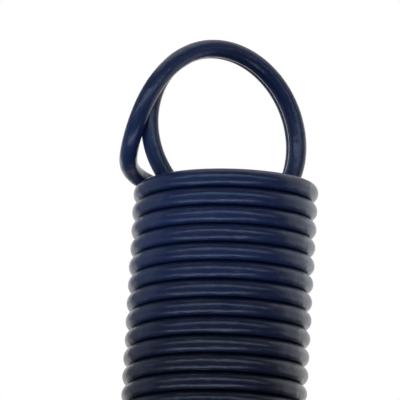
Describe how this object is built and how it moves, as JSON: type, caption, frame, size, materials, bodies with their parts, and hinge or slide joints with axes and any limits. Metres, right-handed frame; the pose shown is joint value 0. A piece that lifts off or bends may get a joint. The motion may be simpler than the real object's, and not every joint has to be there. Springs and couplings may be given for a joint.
{
  "type": "extension spring",
  "caption": "Close-wound extension spring of round coated wire, with a double-loop eye at each end, which stretches along its coil axis under load.",
  "frame": {"origin": "middle of the coil body on the coil axis, with the spring closed", "axes": "+Z along the coil axis to the upper eye, +Y along the pin that goes through the eyes"},
  "size_m": [0.051, 0.041, 0.1652],
  "materials": {
    "coated_wire": "semi-gloss navy coating"
  },
  "bodies": {
    "upper_eye": {"upper_second_arch": "coated_wire", "upper_second_side": "coated_wire", "upper_first_side": "coated_wire", "upper_first_arch": "coated_wire", "upper_bend": "coated_wire"},
    "turn_01": {"coil_01": "coated_wire"},
    "turn_02": {"coil_02": "coated_wire"},
    "turn_03": {"coil_03": "coated_wire"},
    "turn_04": {"coil_04": "coated_wire"},
    "turn_05": {"coil_05": "coated_wire"},
    "turn_06": {"coil_06": "coated_wire"},
    "turn_07": {"coil_07": "coated_wire"},
    "turn_08": {"coil_08": "coated_wire"},
    "turn_09": {"coil_09": "coated_wire"},
    "turn_10": {"coil_10": "coated_wire"},
    "turn_11": {"coil_11": "coated_wire"},
    "turn_12": {"coil_12": "coated_wire"},
    "turn_13": {"coil_13": "coated_wire"},
    "turn_14": {"coil_14": "coated_wire"},
    "turn_15": {"coil_15": "coated_wire"},
    "turn_16": {"coil_16": "coated_wire"},
    "turn_17": {"coil_17": "coated_wire"},
    "turn_18": {"coil_18": "coated_wire"},
    "turn_19": {"coil_19": "coated_wire"},
    "turn_20": {"coil_20": "coated_wire"},
    "turn_21": {"coil_21": "coated_wire"},
    "turn_22": {"coil_22": "coated_wire"},
    "turn_23": {"coil_23": "coated_wire"},
    "turn_24": {"coil_24": "coated_wire"},
    "lower_eye": {"lower_bend": "coated_wire", "lower_first_arch": "coated_wire", "lower_first_side": "coated_wire", "lower_second_side": "coated_wire", "lower_second_arch": "coated_wire"}
  },
  "joints": [
    {"name": "stretch", "type": "slide", "parent": "upper_eye", "child": "lower_eye", "axis": [0, 0, -1], "range_m": [0, 0.15], "stiffness_N_per_m": 2145, "springref_m": -0.0205},
    {"name": "turn_01_slide", "type": "slide", "parent": "upper_eye", "child": "turn_01", "axis": [0, 0, -1], "range_m": [0, 0.00313]},
    {"name": "turn_02_slide", "type": "slide", "parent": "upper_eye", "child": "turn_02", "axis": [0, 0, -1], "range_m": [0, 0.00938]},
    {"name": "turn_03_slide", "type": "slide", "parent": "upper_eye", "child": "turn_03", "axis": [0, 0, -1], "range_m": [0, 0.01563]},
    {"name": "turn_04_slide", "type": "slide", "parent": "upper_eye", "child": "turn_04", "axis": [0, 0, -1], "range_m": [0, 0.02188]},
    {"name": "turn_05_slide", "type": "slide", "parent": "upper_eye", "child": "turn_05", "axis": [0, 0, -1], "range_m": [0, 0.02813]},
    {"name": "turn_06_slide", "type": "slide", "parent": "upper_eye", "child": "turn_06", "axis": [0, 0, -1], "range_m": [0, 0.03438]},
    {"name": "turn_07_slide", "type": "slide", "parent": "upper_eye", "child": "turn_07", "axis": [0, 0, -1], "range_m": [0, 0.04063]},
    {"name": "turn_08_slide", "type": "slide", "parent": "upper_eye", "child": "turn_08", "axis": [0, 0, -1], "range_m": [0, 0.04688]},
    {"name": "turn_09_slide", "type": "slide", "parent": "upper_eye", "child": "turn_09", "axis": [0, 0, -1], "range_m": [0, 0.05313]},
    {"name": "turn_10_slide", "type": "slide", "parent": "upper_eye", "child": "turn_10", "axis": [0, 0, -1], "range_m": [0, 0.05938]},
    {"name": "turn_11_slide", "type": "slide", "parent": "upper_eye", "child": "turn_11", "axis": [0, 0, -1], "range_m": [0, 0.06563]},
    {"name": "turn_12_slide", "type": "slide", "parent": "upper_eye", "child": "turn_12", "axis": [0, 0, -1], "range_m": [0, 0.07188]},
    {"name": "turn_13_slide", "type": "slide", "parent": "upper_eye", "child": "turn_13", "axis": [0, 0, -1], "range_m": [0, 0.07813]},
    {"name": "turn_14_slide", "type": "slide", "parent": "upper_eye", "child": "turn_14", "axis": [0, 0, -1], "range_m": [0, 0.08438]},
    {"name": "turn_15_slide", "type": "slide", "parent": "upper_eye", "child": "turn_15", "axis": [0, 0, -1], "range_m": [0, 0.09063]},
    {"name": "turn_16_slide", "type": "slide", "parent": "upper_eye", "child": "turn_16", "axis": [0, 0, -1], "range_m": [0, 0.09688]},
    {"name": "turn_17_slide", "type": "slide", "parent": "upper_eye", "child": "turn_17", "axis": [0, 0, -1], "range_m": [0, 0.10313]},
    {"name": "turn_18_slide", "type": "slide", "parent": "upper_eye", "child": "turn_18", "axis": [0, 0, -1], "range_m": [0, 0.10938]},
    {"name": "turn_19_slide", "type": "slide", "parent": "upper_eye", "child": "turn_19", "axis": [0, 0, -1], "range_m": [0, 0.11563]},
    {"name": "turn_20_slide", "type": "slide", "parent": "upper_eye", "child": "turn_20", "axis": [0, 0, -1], "range_m": [0, 0.12188]},
    {"name": "turn_21_slide", "type": "slide", "parent": "upper_eye", "child": "turn_21", "axis": [0, 0, -1], "range_m": [0, 0.12813]},
    {"name": "turn_22_slide", "type": "slide", "parent": "upper_eye", "child": "turn_22", "axis": [0, 0, -1], "range_m": [0, 0.13438]},
    {"name": "turn_23_slide", "type": "slide", "parent": "upper_eye", "child": "turn_23", "axis": [0, 0, -1], "range_m": [0, 0.14063]},
    {"name": "turn_24_slide", "type": "slide", "parent": "upper_eye", "child": "turn_24", "axis": [0, 0, -1], "range_m": [0, 0.14688]}
  ],
  "couplings": [
    {"joint": "turn_01_slide", "follows": "stretch", "ratio": 0.020833},
    {"joint": "turn_02_slide", "follows": "stretch", "ratio": 0.0625},
    {"joint": "turn_03_slide", "follows": "stretch", "ratio": 0.10417},
    {"joint": "turn_04_slide", "follows": "stretch", "ratio": 0.14583},
    {"joint": "turn_05_slide", "follows": "stretch", "ratio": 0.1875},
    {"joint": "turn_06_slide", "follows": "stretch", "ratio": 0.22917},
    {"joint": "turn_07_slide", "follows": "stretch", "ratio": 0.27083},
    {"joint": "turn_08_slide", "follows": "stretch", "ratio": 0.3125},
    {"joint": "turn_09_slide", "follows": "stretch", "ratio": 0.35417},
    {"joint": "turn_10_slide", "follows": "stretch", "ratio": 0.39583},
    {"joint": "turn_11_slide", "follows": "stretch", "ratio": 0.4375},
    {"joint": "turn_12_slide", "follows": "stretch", "ratio": 0.47917},
    {"joint": "turn_13_slide", "follows": "stretch", "ratio": 0.52083},
    {"joint": "turn_14_slide", "follows": "stretch", "ratio": 0.5625},
    {"joint": "turn_15_slide", "follows": "stretch", "ratio": 0.60417},
    {"joint": "turn_16_slide", "follows": "stretch", "ratio": 0.64583},
    {"joint": "turn_17_slide", "follows": "stretch", "ratio": 0.6875},
    {"joint": "turn_18_slide", "follows": "stretch", "ratio": 0.72917},
    {"joint": "turn_19_slide", "follows": "stretch", "ratio": 0.77083},
    {"joint": "turn_20_slide", "follows": "stretch", "ratio": 0.8125},
    {"joint": "turn_21_slide", "follows": "stretch", "ratio": 0.85417},
    {"joint": "turn_22_slide", "follows": "stretch", "ratio": 0.89583},
    {"joint": "turn_23_slide", "follows": "stretch", "ratio": 0.9375},
    {"joint": "turn_24_slide", "follows": "stretch", "ratio": 0.97917}
  ]
}
